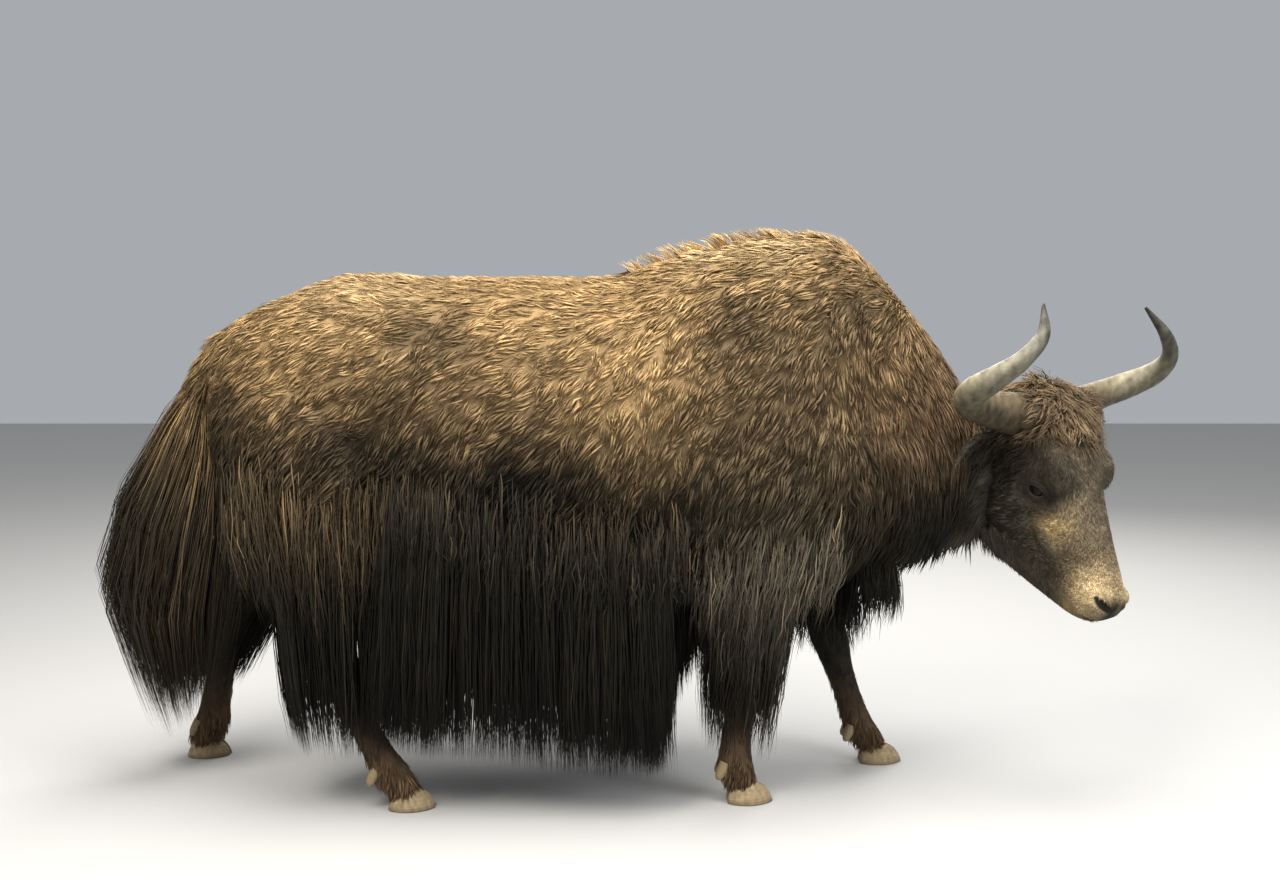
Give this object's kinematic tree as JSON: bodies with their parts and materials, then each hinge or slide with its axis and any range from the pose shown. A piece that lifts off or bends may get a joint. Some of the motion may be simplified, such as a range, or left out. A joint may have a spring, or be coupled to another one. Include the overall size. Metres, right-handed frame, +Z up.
{
  "type": "wild yak bull",
  "caption": "Life-size wild yak bull in a slow walk, head lowered and turned aside, with long coat and upswept horns.",
  "frame": {"origin": "on the floor, below the middle of the whole animal's bounding box", "axes": "+X is the way the animal walks, +Y is its left side, +Z is up"},
  "size_m": [3.5036, 1.1064, 1.7934],
  "materials": {
    "coat_body": "woolly brown fur",
    "coat_neck": "long red-brown hair",
    "coat_head": "short fur, pale at the muzzle",
    "coat_leg": "long dark hair over short brown fur",
    "coat_tail": "long black-brown hair",
    "ear": "short dark fur",
    "eye": "dark glass eye",
    "horn": "grey-olive horn, rough at its base",
    "claw": "ridged pale horn"
  },
  "bodies": {
    "root": {"torso": "coat_body", "neck": "coat_neck", "head": "coat_head", "leg_fore_right": "coat_leg", "leg_fore_left": "coat_leg", "leg_hind_right": "coat_leg", "leg_hind_left": "coat_leg", "tail": "coat_tail", "ear_right": "ear", "ear_left": "ear", "eye_right": "eye", "eye_left": "eye", "horn_right": "horn", "horn_left": "horn", "claw_fore_right_inner": "claw", "claw_fore_right_outer": "claw", "claw_fore_left_inner": "claw", "claw_fore_left_outer": "claw", "claw_hind_right_inner": "claw", "claw_hind_right_outer": "claw", "claw_hind_left_inner": "claw", "claw_hind_left_outer": "claw", "dewclaw_fore_right_inner": "claw", "dewclaw_fore_right_outer": "claw", "dewclaw_fore_left_inner": "claw", "dewclaw_fore_left_outer": "claw", "dewclaw_hind_right_inner": "claw", "dewclaw_hind_right_outer": "claw", "dewclaw_hind_left_inner": "claw", "dewclaw_hind_left_outer": "claw"}
  },
  "joints": []
}
